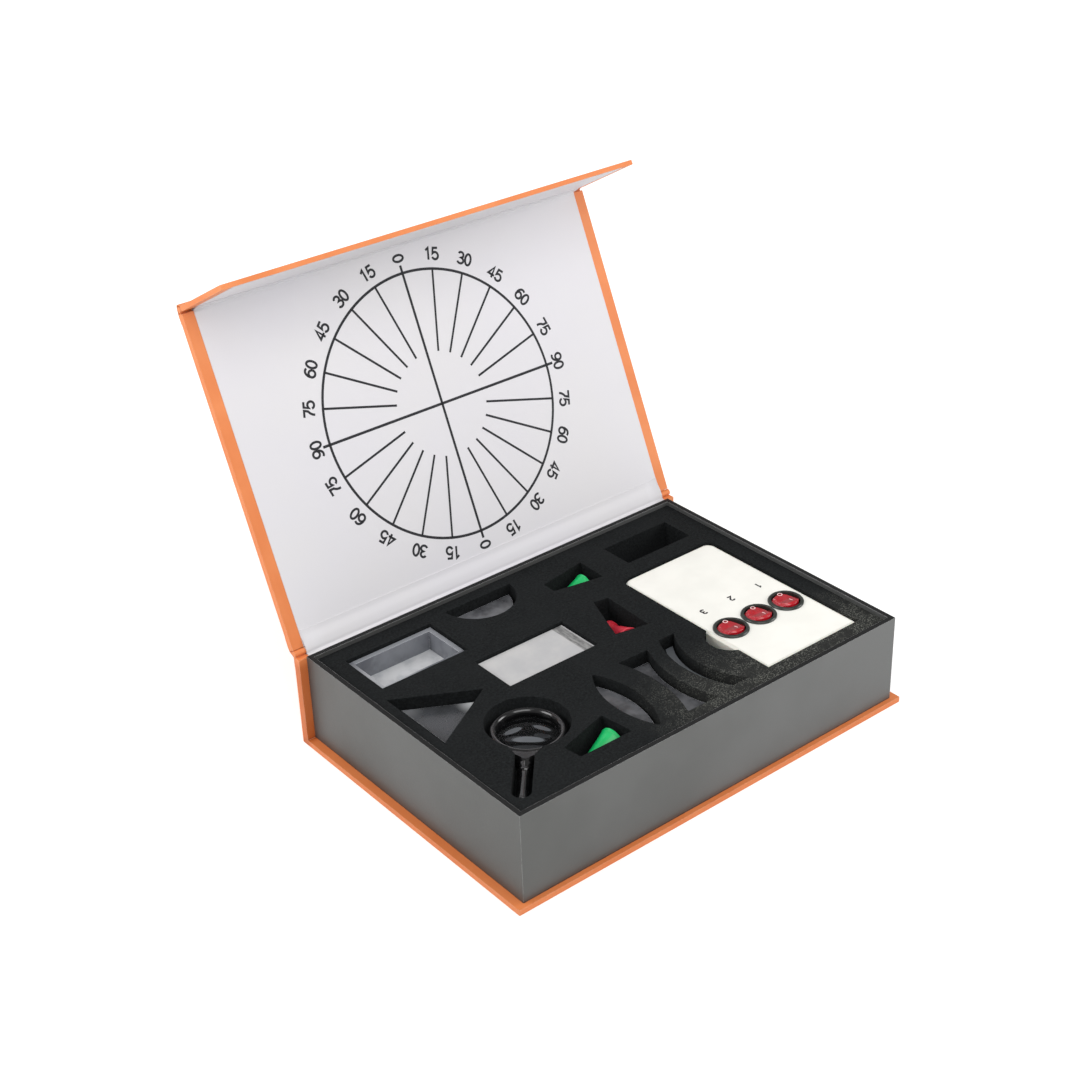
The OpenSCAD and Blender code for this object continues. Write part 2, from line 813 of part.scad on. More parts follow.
module glass_block() {
    color("lightblue", 0.5)
    at(block_at, kit_z) plate(block_l, block_w, block_h);
}

module prism() {
    color("lightblue", 0.5)
    at(prism_at, kit_z) cylinder(r = prism_r, h = prism_h, $fn = 3);
}

module biconvex_lens() {
    color("lightblue", 0.5)
    at(convex_at, kit_z, -3.4) convex_form(lens_l, convex_w, lens_h);
}

module biconcave_lens() {
    color("lightblue", 0.5)
    at(concave_at, kit_z, -2.3) concave_form(lens_l, concave_w, waist_w, lens_h);
}

module curved_mirror() {
    color("silver")
    at([mirror_at[0] + 0.1, mirror_at[1] + 0.5], kit_z) bow_form(lens_l, mirror_t, mirror_bow, lens_h);
}

module planoconvex_lens() {
    color("lightblue", 0.5)
    at(plano_at, kit_z) half_round_form(plano_l, plano_sag, lens_h);
}

// Magnifier: X runs from the ring along the handle

module magnifier_frame() {
    mid = (ring_r + ring_hole) / 2;
    color("#101010")
    difference() {
        union() {
            at(ring_at, grip_z) rotate_extrude()
                polygon([for (a = [0:15:345])
                    [mid + ring_t / 2 * cos(a), ring_h / 2 * sign(sin(a)) * pow(abs(sin(a)), 0.7)]]);
            at(ring_at, grip_z, ring_turn) intersection() {
                rotate([0, 90, 0]) rotate_extrude()
                    polygon([[0, ring_r - 2], [neck_r, ring_r - 2], [neck_r - 0.6, ring_r], [5, ring_r + 2.6],
                        [stem_r + 0.5, ring_r + 5.6], [stem_r, collar_x], [0, collar_x]]);
                translate([0, 0, 0.4 - ring_h / 2]) plate(4 * ring_r, 2 * ring_r, ring_h - 0.8);
            }
        }
        at(ring_at, grip_z - lens_edge / 2 - 0.28) cylinder(r = lens_r + 0.05, h = lens_edge + 0.56);
        at(ring_at, grip_z, ring_turn) rotate([0, 90, 0])
            translate([0, 0, collar_x - pin_l - 0.4]) cylinder(d = pin_d + 0.1, h = pin_l + 1, $fn = 32);
    }
}

module magnifier_lens() {
    bulge = (lens_mid - lens_edge) / 2;
    r = (lens_r * lens_r + bulge * bulge) / (2 * bulge);
    color("lightblue", 0.4)
    at(ring_at, grip_z) intersection() {
        translate([0, 0, lens_mid / 2 - r]) sphere(r = r, $fn = 160);
        translate([0, 0, r - lens_mid / 2]) sphere(r = r, $fn = 160);
        cylinder(r = lens_r, h = lens_mid + 2, center = true);
    }
}

module magnifier_handle() {
    color("#101010")
    at(ring_at, grip_z, ring_turn) rotate([0, 90, 0]) rotate_extrude()
        polygon([[0, collar_x - pin_l], [pin_d / 2, collar_x - pin_l], [pin_d / 2, collar_x],
            [stem_r + 0.3, collar_x], [stem_r + 0.7, collar_x + 0.5], [stem_r + 0.7, collar_x + 1.9],
            [stem_r, collar_x + 2.6], [stem_r + 0.2, collar_x + handle_l / 3],
            [stem_r + 0.6, handle_end - handle_l * 0.3],
            [handle_r, handle_end - 2.4], [handle_r, handle_end - 0.8], [handle_r - 0.8, handle_end],
            [0, handle_end]]);
}

// Hollow figures that lie on their side

module pawn(p, turn, shift = 0) {
    at(p, pawn_z, turn) translate([-shift, 0, 0]) rotate([0, -90 - pawn_tip, 0]) {
        rotate_extrude()
            polygon([[pawn_r - 1.1, 0], [pawn_r, 0], [pawn_r, 1.2], [pawn_r - 0.4, 1.8],
                [pawn_r - 0.9, 3.6], [pawn_r - 1.9, 7.6], [pawn_r - 3, 12], [pawn_r - 4.1, 16.6],
                [pawn_r - 4.9, 19.6], [3.9, 20], [3.9, 20.8], [2.7, 21.4], [0, 21.4], [0, 15],
                [2.9, 13], [pawn_r - 3.4, 7.4], [pawn_r - 2.3, 3.4], [pawn_r - 1.3, 1.6]]);
        translate([0, 0, ball_at]) sphere(r = ball_r);
    }
}

module pawn_green_front() {
    color("#20b850") pawn(green_front_at, green_front_turn);
}

module pawn_green_back() {
    color("#20b850") pawn(green_back_at, green_back_turn, 1.8);
}

module pawn_red() {
    color("#c02838") pawn(red_at, red_turn);
}

base_board();
spine_board();
cover_paper_base();
hinge_lining();
tray_box();
tray_paper();
tray_magnets();
foam_top_sheet();
foam_second_sheet();
foam_pad();
lid_board();
lid_paper();
lid_lining();
flap_board();
flap_paper();
flap_lining();
flap_magnets();
raybox_top_shell();
raybox_bottom_shell();
raybox_label();
battery_door();
battery_cells();
battery_contacts();
laser_modules();
beam_windows();
wiring_board();
shell_screws();
switch_terminals();
switch_body_1();
switch_body_2();
switch_body_3();
rocker_1();
rocker_2();
rocker_3();
water_tank();
glass_block();
prism();
biconvex_lens();
biconcave_lens();
curved_mirror();
planoconvex_lens();
magnifier_frame();
magnifier_lens();
magnifier_handle();
pawn_green_front();
pawn_green_back();
pawn_red();
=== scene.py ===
import math
import bpy
import bmesh
from mathutils import Matrix, Vector


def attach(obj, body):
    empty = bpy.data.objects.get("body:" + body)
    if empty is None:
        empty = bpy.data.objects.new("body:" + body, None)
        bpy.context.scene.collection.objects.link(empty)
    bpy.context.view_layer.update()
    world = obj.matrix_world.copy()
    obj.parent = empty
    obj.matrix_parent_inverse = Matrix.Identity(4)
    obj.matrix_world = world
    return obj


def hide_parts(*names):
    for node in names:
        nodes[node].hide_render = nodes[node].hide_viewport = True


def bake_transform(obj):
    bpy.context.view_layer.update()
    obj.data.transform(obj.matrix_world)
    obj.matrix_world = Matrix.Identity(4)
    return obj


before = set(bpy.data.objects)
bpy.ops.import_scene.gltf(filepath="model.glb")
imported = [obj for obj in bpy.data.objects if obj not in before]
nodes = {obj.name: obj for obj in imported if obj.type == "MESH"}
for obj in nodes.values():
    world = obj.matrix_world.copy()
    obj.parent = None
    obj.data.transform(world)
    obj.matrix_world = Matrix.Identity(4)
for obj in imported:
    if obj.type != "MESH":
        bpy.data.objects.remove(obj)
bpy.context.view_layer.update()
mm = 0.001
print("frame loaded")

# camera: fitted to corners and circles in the photograph
view = {
    "place": (-0.56619, -0.66845, 0.62269),
    "turn": -38.11,       # degrees from +Y
    "down": 29.862,       # degrees below the horizon
    "roll": -2.076,
    "lens": 63.3,         # mm on a 36 mm sensor
}


def aimCamera(place, turn, down, roll, lens):
    a, e, t = (math.radians(v) for v in (turn, down, roll))
    forward = Vector((-math.sin(a) * math.cos(e), math.cos(a) * math.cos(e), -math.sin(e)))
    right = Vector((math.cos(a), math.sin(a), 0))
    up = right.cross(forward)
    tiltedRight = right * math.cos(t) + up * math.sin(t)
    tiltedUp = up * math.cos(t) - right * math.sin(t)
    camera = bpy.data.objects.new("camera", bpy.data.cameras.new("camera"))
    bpy.context.scene.collection.objects.link(camera)
    turned = Matrix((tiltedRight, tiltedUp, -forward)).transposed().to_4x4()
    camera.matrix_world = Matrix.Translation(place) @ turned
    camera.data.lens = lens
    camera.data.sensor_width = 36
    camera.data.clip_start = 0.05
    bpy.context.scene.camera = camera


aimCamera(**view)
bpy.context.scene.view_settings.view_transform = "Standard"
print("camera set")


# shader sums written as plain arithmetic
class Wire:
    def __init__(self, tree, socket):
        self.tree = tree
        self.socket = socket

    def math(self, operation, *values):
        isVector = any(isinstance(v, Wire) and v.socket.type in ("VECTOR", "RGBA") for v in values)
        node = self.tree.nodes.new("ShaderNodeVectorMath" if isVector else "ShaderNodeMath")
        node.operation = operation
        for value, target in zip(values, node.inputs):
            if isVector and isinstance(value, (int, float)):
                value = (value, value, value)
            plug(self.tree, value, target)
        return Wire(self.tree, node.outputs[0])

    def __add__(self, other):
        return self.math("ADD", self, other)

    def __radd__(self, other):
        return self.math("ADD", other, self)

    def __sub__(self, other):
        return self.math("SUBTRACT", self, other)

    def __rsub__(self, other):
        return self.math("SUBTRACT", other, self)

    def __mul__(self, other):
        return self.math("MULTIPLY", self, other)

    def __rmul__(self, other):
        return self.math("MULTIPLY", other, self)

    def __truediv__(self, other):
        return self.math("DIVIDE", self, other)

    def __rtruediv__(self, other):
        return self.math("DIVIDE", other, self)

    def __abs__(self):
        return self.math("ABSOLUTE", self)

    def clamped(self):
        return self.math("MINIMUM", self.math("MAXIMUM", self, 0.0), 1.0)


def plug(tree, value, target):
    if isinstance(value, Wire):
        tree.links.new(value.socket, target)
    elif isinstance(value, tuple) and target.type == "RGBA" and len(value) == 3:
        target.default_value = (*value, 1)
    else:
        target.default_value = value


socketNames = {
    "Colour": "Base Color",
    "Specular": "Specular IOR Level",
    "Coat": "Coat Weight",
    "CoatRoughness": "Coat Roughness",
    "Transmission": "Transmission Weight",
    "Subsurface": "Subsurface Weight",
    "SubsurfaceScale": "Subsurface Scale",
    "EmissionColour": "Emission Color",
    "EmissionStrength": "Emission Strength",
}


class Graph:
    def __init__(self, tree):
        self.tree = tree

    def node(self, kind, settings=None, inputs=None, output=0):
        made = self.tree.nodes.new("ShaderNode" + kind)
        for key, value in (settings or {}).items():
            setattr(made, key, value)
        for key, value in (inputs or {}).items():
            plug(self.tree, value, made.inputs[key])
        return Wire(self.tree, made.outputs[output])

    def place(self, stretch=(1, 1, 1)):
        where = self.node("TexCoord", output="Object")
        return where * stretch if stretch != (1, 1, 1) else where

    def axis(self, index, vector=None):
        return self.node("SeparateXYZ", None, {"Vector": vector or self.place()}, index)

    def facing(self, index):
        return self.axis(index, self.node("NewGeometry", output="Normal"))

    def length(self, vector):
        return self.node("VectorMath", {"operation": "LENGTH"}, {0: vector}, 1)

    def dot(self, first, second):
        return self.node("VectorMath", {"operation": "DOT_PRODUCT"}, {0: first, 1: second}, 1)

    def noise(self, size, detail=2.0, rough=0.5, stretch=(1, 1, 1)):
        return self.node("TexNoise", None, {"Vector": self.place(stretch), "Scale": 1 / size,
                                            "Detail": detail, "Roughness": rough}, "Fac")

    def cells(self, size):
        return self.node("TexVoronoi", None, {"Vector": self.place(), "Scale": 1 / size},
                         "Distance")

    def ramp(self, value, low, high):
        return self.node("MapRange", {"interpolation_type": "SMOOTHSTEP"},
                         {"Value": value, "From Min": low, "From Max": high})

    def mix(self, factor, first, second):
        return self.node("Mix", {"data_type": "RGBA"}, {0: factor, 6: first, 7: second}, 2)

    def rounded(self, radius):
        return self.node("Bevel", {"samples": 6}, {"Radius": radius})

    def edges(self, radius):
        return 1 - self.dot(self.rounded(radius), self.node("NewGeometry", output="Normal"))

    def bump(self, height, strength, distance, radius=None):
        inputs = {"Height": height, "Strength": strength, "Distance": distance}
        if radius:
            inputs["Normal"] = self.rounded(radius)
        return self.node("Bump", None, inputs, "Normal")


class Look(Graph):
    def __init__(self, name):
        self.material = bpy.data.materials.new(name)
        self.material.use_nodes = True
        super().__init__(self.material.node_tree)
        self.shader = self.tree.nodes["Principled BSDF"]

    def set(self, **values):
        for key, value in values.items():
            plug(self.tree, value, self.shader.inputs[socketNames.get(key, key)])

    def baseColour(self):
        return Wire(self.tree, self.shader.inputs["Base Color"].links[0].from_socket)


def srgb(r, g, b):
    def toLinear(v):
        v = v / 255
        return v / 12.92 if v <= 0.04045 else ((v + 0.055) / 1.055) ** 2.4
    return (toLinear(r), toLinear(g), toLinear(b))


def dress(look, *names):
    for name in names:
        mesh = nodes[name].data
        mesh.materials.clear()
        mesh.materials.append(look.material)


# paper, board and foam; colours go from 0 to 255
paper = {
    "orange": (229, 138, 82),
    "orangeDeep": (222, 127, 70),
    "edgePale": (248, 206, 172),
    "orangeShade": (186, 94, 40),
    "white": (217, 215, 217),
    "whiteCloud": (216, 214, 218),
    "worn": (215, 215, 215),
    "tray": (94, 95, 93),
    "trayCloudAndLit": (110, 111, 110),
    "contactShade": (44, 28, 20),
    "baseTop": 0.0033,
    "contactShadeTop": 0.0041,
    "rim": (11, 12, 12),
    "rimHeight": (0.0568, 0.0569),
    "trayLitAlong": (-0.14, 0.14),   # painted light: the tray gets lighter from left to right
    "lowEdge": (0.0045, 0.0035),  # painted shade: the cover's lower edge, darker below
    "tuckHeight": (0.0565, 0.05),            # the cover behind the tray, in shade
    "tuckFrom": (0.088, 0.094),
    "tuckTo": (0.0975, 0.0972),
    "board": (168, 150, 124),
    "boardFleck": (140, 124, 102),
}
sponge = {
    "dark": (10, 11, 12),
    "light": (33, 36, 37),
    "patch": (29, 31, 32),
    "frontSheen": (58, 58, 55),        # painted sheen on the front strip, where grains catch the light
    # colour of the painted glints on single grains
    "grain": (126, 127, 120),
    "bandAcross": (-0.03, -0.085),           # where that strip starts and is full
    "bandAlong": (-0.045, 0.01),
    "edge": 0.0007,
    "edgeSteps": 3,
    "edgeAngle": 50,
    "weld": 1e-6,
    "flatAngle": 0.02,            # radians, faces joined below it
}


def orangeLook():
    look = Look("coverPaper")
    cloud = look.noise(0.03, 3)
    fibre = look.noise(0.0004, 4, 0.6, (1, 0.35, 1))
    worn = look.ramp(look.edges(0.0008) * (look.noise(0.004, 3) + 0.45), 0.1, 0.34)
    base = look.mix(look.ramp(cloud, 0.3, 0.7), srgb(*paper["orange"]), srgb(*paper["orangeDeep"]))
    height = look.axis(2)
    across = look.axis(1)
    # painted shade on the cover's lower edge and on the cover behind the tray
    low = look.ramp(height, *paper["lowEdge"]) * 0.3
    tuckedIn = look.ramp(height, *paper["tuckHeight"]) * look.ramp(across, *paper["tuckFrom"])
    tuckedIn = tuckedIn * look.ramp(across, *paper["tuckTo"]) * 0.75
    base = look.mix((low + tuckedIn).clamped(), base, srgb(*paper["orangeShade"]))
    base = look.mix(worn * 0.55, base, srgb(*paper["edgePale"]))
    look.set(Colour=base, Roughness=0.42 + 0.2 * fibre, Specular=0.4,
             Normal=look.bump(fibre, 0.25, 0.00008, 0.0005))
    return look


def liningLook():
    look = Look("liningPaper")
    cloud = look.noise(0.06, 3)
    fibre = look.noise(0.0005, 4, 0.6)
    base = look.mix(look.ramp(cloud, 0.25, 0.75), srgb(*paper["white"]), srgb(*paper["whiteCloud"]))
    look.set(Colour=base, Roughness=0.5 + 0.15 * fibre, Specular=0.35,
             Normal=look.bump(fibre, 0.18, 0.00006, 0.0004))
    return look


def trayLook():
    look = Look("trayPaper")
    grain = look.noise(0.0006, 4, 0.65, (1, 1, 0.5))
    cloud = look.noise(0.05, 3)
    height = look.axis(2)
    up = look.facing(2)
    along = look.axis(0)
    worn = look.ramp(look.edges(0.0006) * look.noise(0.006, 4, 0.7), 0.08, 0.17)
    scuffs = look.ramp(look.cells(0.012), 0.045, 0.02) * look.ramp(look.noise(0.02, 2), 0.62, 0.7)
    onTop = look.ramp(up, 0.5, 0.8)
    inside = look.ramp(height, *paper["rimHeight"]) * onTop
    # random cloudy tone, plus painted light that makes the tray lighter towards the right
    lighter = look.ramp(cloud, 0.3, 0.7) * 0.4 + look.ramp(along, *paper["trayLitAlong"]) * 0.8
    side = look.mix(lighter.clamped(), srgb(*paper["tray"]), srgb(*paper["trayCloudAndLit"]))
    # painted shade: a dark line where the tray meets the base
    contactShade = look.ramp(height, paper["contactShadeTop"], paper["baseTop"])
    side = look.mix(contactShade * 0.85, side, srgb(*paper["contactShade"]))
    base = look.mix(inside, side, srgb(*paper["rim"]))
    base = look.mix((worn + scuffs * (1 - onTop)).clamped() * 0.7, base, srgb(*paper["worn"]))
    look.set(Colour=base, Metallic=0.55 * (1 - inside),
             Roughness=0.4 + 0.16 * grain + 0.35 * inside,
             Normal=look.bump(grain, 0.35, 0.00012, 0.0006))
    return look


def foamLook():
    look = Look("foam")
    pores = look.cells(0.0013)
    fine = look.noise(0.0014, 5, 0.8)
    large = look.noise(0.03, 3)
    patch = look.noise(0.009, 4, 0.6)
    across = look.axis(1)
    along = look.axis(0)
    band = look.ramp(across, *sponge["bandAcross"]) * look.ramp(along, *sponge["bandAlong"])
    glintCells = look.cells(0.0008)
    paintedGlints = look.ramp(glintCells, 0.5, 0.2) * look.ramp(patch, 0.33, 0.58) * (0.03 + 0.97 * band)
    base = look.mix(look.ramp(fine, 0.32, 0.7), srgb(*sponge["dark"]), srgb(*sponge["light"]))
    base = look.mix(look.ramp(large, 0.35, 0.7) * 0.4, base, srgb(*sponge["patch"]))
    # painted light: a sheen along the front strip and glints on single grains
    base = look.mix(band * 0.4, base, srgb(*sponge["frontSheen"]))
    base = look.mix(paintedGlints * 0.7, base, srgb(*sponge["grain"]))
    look.set(Colour=base, Roughness=0.88 + 0.1 * fine, Specular=0.15,
             Normal=look.bump(pores * 0.4 + fine * 0.6, 0.5, 0.0006))
    return look


def boardLook():
    look = Look("greyBoard")
    flecks = look.noise(0.0012, 5, 0.7)
    base = look.mix(look.ramp(flecks, 0.4, 0.65), srgb(*paper["board"]), srgb(*paper["boardFleck"]))
    look.set(Colour=base, Roughness=0.85 + 0.1 * flecks, Normal=look.bump(flecks, 0.4, 0.0003))
    return look


orange = orangeLook()
lining = liningLook()
tray = trayLook()
foam = foamLook()
board = boardLook()
dress(orange, "cover_paper_base", "lid_paper", "flap_paper")
dress(lining, "lid_lining", "flap_lining", "hinge_lining")
dress(tray, "tray_paper")
dress(board, "base_board", "spine_board", "tray_box", "lid_board", "flap_board")
print("paper and board dressed")


def meshPiece(name, verts, faces, look, body, smooth=False):
    mesh = bpy.data.meshes.new(name)
    mesh.from_pydata([tuple(v) for v in verts], [], faces)
    mesh.materials.append(look.material)
    mesh.validate()
    made = bpy.data.objects.new(name, mesh)
    bpy.context.scene.collection.objects.link(made)
    for face in mesh.polygons:
        face.use_smooth = smooth
    if body:
        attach(made, body)
    return made


def applyModifiers(made):
    graph = bpy.context.evaluated_depsgraph_get()
    final = bpy.data.meshes.new_from_object(made.evaluated_get(graph))
    made.modifiers.clear()
    made.data = final


def softFoam(name, node):
    made = bpy.data.objects.new(name, nodes[node].data.copy())
    bpy.context.scene.collection.objects.link(made)
    made.data.materials.clear()
    made.data.materials.append(foam.material)
    work = bmesh.new()
    work.from_mesh(made.data)
    bmesh.ops.remove_doubles(work, verts=work.verts, dist=sponge["weld"])
    bmesh.ops.dissolve_limit(work, angle_limit=sponge["flatAngle"], verts=work.verts,
                             edges=work.edges)
    work.to_mesh(made.data)
    work.free()
    bevel = made.modifiers.new("softEdge", "BEVEL")
    bevel.width = sponge["edge"]
    bevel.segments = sponge["edgeSteps"]
    bevel.limit_method = "ANGLE"
    bevel.angle_limit = math.radians(sponge["edgeAngle"])
    bevel.harden_normals = True
    applyModifiers(made)
    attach(made, "case")
    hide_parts(node)


softFoam("foamTop", "foam_top_sheet")
softFoam("foamSecond", "foam_second_sheet")
softFoam("foamPad", "foam_pad")
print("foam made")

# lid: printed dial and paper creases
lid = {
    "lean": 23.8,
    "hinge": (0.098, 0.058),      # Y and Z
    "foldAt": 0.1949,             # along the lid
    "foldMid": 0.0015,            # behind the lining side
    "foldAngle": 84.7,
    "width": 0.276,
    "liningWidth": 0.262,
}
dial = {
    "spokes": 24,
    "x": -0.00086,
    "along": 0.1006,
    "radius": 0.0772,
    "line": 0.00155,
    "spoke": 0.0013,
    "spokeFrom": 0.39,
    "overrun": 0.0045,
    "numberAt": 0.0858,
    "numberSize": 0.0074,
    "proud": 0.00074,             # print above the lining side
    "ink": (38, 38, 42),
}


def onLid(x, along, inward):
    lean = math.radians(lid["lean"])
    y = lid["hinge"][0] - inward * math.cos(lean) + along * math.sin(lean)
    z = lid["hinge"][1] + inward * math.sin(lean) + along * math.cos(lean)
    return Vector((x, y, z))


def inkLook(name, colour):
    look = Look(name)
    speck = look.noise(0.0009, 4, 0.7)
    base = look.mix(look.ramp(speck, 0.45, 0.75), srgb(*colour), srgb(*(v + 16 for v in colour)))
    look.set(Colour=base, Roughness=0.5 + 0.2 * speck, Specular=0.3,
             Normal=look.bump(speck, 0.1, 0.00005))
    return look


ink = inkLook("printInk", dial["ink"])


def flatStrip(work, toPlane, first, last, width):
    first, last = Vector(first), Vector(last)
    along = (last - first).normalized()
    across = Vector((-along.y, along.x)) * width / 2
    corners = [first + across, first - across, last - across, last + across]
    work.faces.new([work.verts.new(toPlane(c.x, c.y)) for c in corners])


def flatRing(work, toPlane, radius, width, steps=144):
    rings = []
    for r in (radius - width / 2, radius + width / 2):
        rings.append([work.verts.new(toPlane(r * math.cos(2 * math.pi * i / steps),
                                             r * math.sin(2 * math.pi * i / steps)))
                      for i in range(steps)])
    for i in range(steps):
        j = (i + 1) % steps
        work.faces.new([rings[0][i], rings[0][j], rings[1][j], rings[1][i]])


def arc(x, y, wide, tall, first, last):
    steps = max(4, int(abs(last - first) / 12))
    turns = [math.radians(first + (last - first) * i / steps) for i in range(steps + 1)]
    return [Vector((x + wide * math.cos(t), y + tall * math.sin(t))) for t in turns]


def line(*points):
    return [Vector(p) for p in points]


# numerals as pen strokes, one unit tall
numerals = {
    "0": [arc(0, 0.5, 0.25, 0.44, 0, 360)],
    "1": [line((-0.17, 0.74), (0.06, 0.94), (0.06, 0.02))],
    "2": [arc(0, 0.7, 0.25, 0.24, 165, -35) + line((-0.25, 0.06), (0.28, 0.06))],
    "3": [arc(-0.01, 0.72, 0.23, 0.22, 160, -90) + arc(0, 0.28, 0.27, 0.23, 85, -160)],
    "4": [line((0.1, 0.02), (0.1, 0.92), (-0.28, 0.27), (0.3, 0.27))],
    "5": [line((0.24, 0.94), (-0.16, 0.94), (-0.23, 0.5)) + arc(0, 0.34, 0.27, 0.28, 125, -160)],
    "6": [arc(0, 0.34, 0.26, 0.28, 0, 360), arc(0.1, 0.42, 0.36, 0.52, 60, 178)],
    "7": [line((-0.26, 0.93), (0.26, 0.93)) + arc(0.62, 0.02, 0.68, 0.72, 128, 180)],
    "9": [arc(0, 0.66, 0.26, 0.28, 0, 360), arc(-0.1, 0.58, 0.36, 0.52, -120, -2)],
}


def penStroke(work, toPlane, points, width):
    rows = []
    for i, spot in enumerate(points):
        before = (spot - points[i - 1]).normalized() if i else None
        after = (points[i + 1] - spot).normalized() if i < len(points) - 1 else None
        along = ((before or after) + (after or before)).normalized()
        reach = width / 2 / max(0.5, along.dot(after or before))
        across = Vector((-along.y, along.x)) * reach
        rows.append([work.verts.new(toPlane(*corner)) for corner in (spot + across, spot - across)])
    for a, b in zip(rows, rows[1:]):
        work.faces.new([a[0], a[1], b[1], b[0]])


penWeight = 0.185
penPitch = 0.67


def numeral(work, toPlane, text, size, spot, turn, weight=penWeight):
    c, s = math.cos(turn), math.sin(turn)
    for k, letter in enumerate(text):
        shift = (k - (len(text) - 1) / 2) * penPitch

        def toSpot(x, y):
            x, y = (x + shift) * size, (y - 0.5) * size
            return toPlane(spot[0] + x * c - y * s, spot[1] + x * s + y * c)
        for points in numerals[letter]:
            penStroke(work, toSpot, points, weight)


def finishFlat(work, name, look, body):
    mesh = bpy.data.meshes.new(name)
    bmesh.ops.recalc_face_normals(work, faces=work.faces)
    work.to_mesh(mesh)
    work.free()
    mesh.materials.append(look.material)
    made = bpy.data.objects.new(name, mesh)
    bpy.context.scene.collection.objects.link(made)
    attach(made, body)


def makeDial():
    work = bmesh.new()

    def toLid(x, y):
        return onLid(dial["x"] + x, dial["along"] + y, dial["proud"])
    r = dial["radius"]
    reach = r + dial["overrun"]
    spokes = dial["spokes"]
    flatRing(work, toLid, r, dial["line"])
    for step in range(spokes):
        angle = 360 // spokes * step
        turn = math.radians(angle)
        way = Vector((math.sin(turn), math.cos(turn)))
        if angle % 90:
            flatStrip(work, toLid, way * r * dial["spokeFrom"], way * r, dial["spoke"])
        elif angle < 180:         # the two full lines
            flatStrip(work, toLid, way * -reach, way * reach, dial["line"])
        degrees = angle % 180
        shown = degrees if degrees <= 90 else 180 - degrees
        side = math.pi / 2 if shown == 0 else 0
        numeral(work, toLid, str(shown), dial["numberSize"], way * dial["numberAt"], side - turn)
    finishFlat(work, "dialPrint", ink, "lid")


makeDial()
print("dial printed")

# creases: curved paper strips across the hinge and across the flap's fold
crease = {
    "paper": 0.0003,
    "steps": 9,
    "columns": 24,
}
# points of each strip: on the case Y and Z, on the lid and the flap along and inward
creaseStrips = {
    "hingeCreaseInside": {
        "look": lining, "slot": "lining_paper", "width": lid["liningWidth"],
        "boards": ("case", "lid"), "bends": (1, 3),
        "spots": (("case", 0.0934, 0.0564), ("case", 0.0955, 0.0569), ("lid", 0.0001, 0.0022),
                  ("lid", 0.0038, 0.0019), ("lid", 0.0080, 0.0009), ("lid", 0.0110, 0.00085)),
    },
    "hingeCreaseOutside": {
        "look": orange, "slot": "cover_paper", "width": lid["width"],
        "boards": ("case", "lid"), "bends": (1, 3),
        "spots": (("case", 0.0982, 0.0500), ("case", 0.0982, 0.0560), ("case", 0.1008, 0.0574),
                  ("lid", 0.0030, -0.0039), ("lid", 0.0100, -0.00385)),
    },
    "foldCreaseInside": {
        "look": lining, "slot": "lining_paper", "width": lid["liningWidth"],
        "boards": ("lid", "flap"), "bends": (1, 2),
        "spots": (("lid", 0.1914, 0.00085), ("lid", 0.1930, 0.0010), ("flap", 0.0034, 0.0021),
                  ("flap", 0.0080, 0.00165)),
    },
    "foldCreaseOutside": {
        "look": orange, "slot": "cover_paper", "width": lid["width"],
        "boards": ("lid", "flap"), "bends": (1, 3),
        "spots": (("lid", 0.1870, -0.00385), ("lid", 0.1925, -0.0039), ("flap", -0.0006, -0.0026),
                  ("flap", 0.0030, -0.0017), ("flap", 0.0090, -0.00165)),
    },
}


def lidDirection():
    lean = math.radians(lid["lean"])
    return Vector((0, math.sin(lean), math.cos(lean))), Vector((0, -math.cos(lean), math.sin(lean)))


def foldPoint():
    return onLid(0, lid["foldAt"], -lid["foldMid"])


def onFlap(x, out, inward):
    alongLid, inLid = lidDirection()
    turn = math.radians(lid["foldAngle"])
    outWay = alongLid * math.cos(turn) + inLid * math.sin(turn)
    inWay = inLid * math.cos(turn) - alongLid * math.sin(turn)
    return foldPoint() + Vector((x, 0, 0)) + outWay * out + inWay * inward


def smoothLine(points, steps):
    curve = []
    for i in range(len(points) - 1):
        before = points[max(i - 1, 0)]
        a, b = points[i], points[i + 1]
        after = points[min(i + 2, len(points) - 1)]
        for k in range(steps):
            t = k / steps
            square = 2 * before - 5 * a + 4 * b - after
            cube = 3 * a - before - 3 * b + after
            curve.append(0.5 * ((2 * a) + (b - before) * t + square * t * t + cube * t ** 3))
    curve.append(points[-1])
    return curve


def onBoard(name, first, second):
    if name == "case":
        return Vector((0, first, second))
    return onLid(0, first, second) if name == "lid" else onFlap(0, first, second)


def paperStrip(name, look, slot, width, boards, bends, spots):
    points = [onBoard(*spot) for spot in spots]
    curve = smoothLine(points, crease["steps"])
    columns = crease["columns"]
    verts = []
    faces = []
    for i in range(columns + 1):
        x = (i / columns - 0.5) * width
        verts += [p + Vector((x, 0, 0)) for p in curve]
    rows = len(curve)
    for i in range(columns):
        for j in range(rows - 1):
            here, beside = i * rows + j, (i + 1) * rows + j
            faces.append((here, beside, beside + 1, here + 1))
    strip = meshPiece(name, verts, faces, look, None, True)
    thick = strip.modifiers.new("thick", "SOLIDIFY")
    thick.thickness = crease["paper"]
    thick.offset = 0
    applyModifiers(strip)
    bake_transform(strip)


for name, values in creaseStrips.items():
    paperStrip(name, **values)
print("creases folded")


